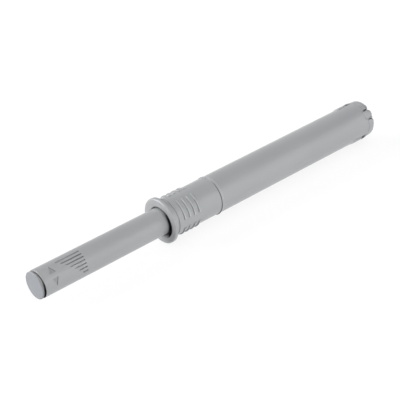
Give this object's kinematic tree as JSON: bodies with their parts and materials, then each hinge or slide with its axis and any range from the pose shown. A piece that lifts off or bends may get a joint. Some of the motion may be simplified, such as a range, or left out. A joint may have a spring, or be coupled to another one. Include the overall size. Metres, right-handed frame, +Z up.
{
  "type": "touch latch",
  "caption": "Push-to-open touch latch for a round drilling: ribbed flanged collar, long tube and a sprung plunger with adjustable reach.",
  "frame": {"origin": "centre of the flange's rear seating face, on the latch's axis", "axes": "+X along the axis into the drilling, towards the tail cap; +Z up, on the side of the cam rod's flat; the key tabs stand at 45 degrees between +Z and -Y"},
  "size_m": [0.1059, 0.0116, 0.0116],
  "materials": {
    "grey_plastic": "satin moulded grey",
    "buffer": "matt soft grey",
    "inner_plastic": "natural off-white",
    "steel_wire": "drawn wire"
  },
  "bodies": {
    "housing": {"collar_bush": "grey_plastic", "housing_tube": "grey_plastic", "end_cap": "grey_plastic", "cam_rod": "inner_plastic", "main_spring": "steel_wire"},
    "plunger": {"plunger_core": "inner_plastic", "pin_carrier": "inner_plastic"},
    "sleeve": {"plunger_sleeve": "grey_plastic"},
    "tip": {"reach_screw": "inner_plastic", "buffer_tip": "buffer"},
    "follower": {"latch_pin": "steel_wire"}
  },
  "joints": [
    {"name": "plunger_slide", "type": "slide", "parent": "housing", "child": "plunger", "axis": [1, 0, 0], "range_m": [0, 0.0355], "stiffness_N_per_m": 200, "springref_m": -0.012, "deforming": ["main_spring"]},
    {"name": "sleeve_turn", "type": "hinge", "parent": "plunger", "child": "sleeve", "pos_m": [0, 0, 0], "axis": [1, 0, 0], "range_deg": [0, 720]},
    {"name": "tip_reach", "type": "slide", "parent": "plunger", "child": "tip", "axis": [-1, 0, 0], "range_m": [0, 0.004]},
    {"name": "pin_swing", "type": "hinge", "parent": "plunger", "child": "follower", "pos_m": [0.01845, -0.0007, 0.00155], "axis": [0, 0, 1], "range_deg": [0, 13.2]}
  ],
  "couplings": [
    {"joint": "sleeve_turn", "follows": "tip_reach", "rad_per_m": 3141.5}
  ]
}
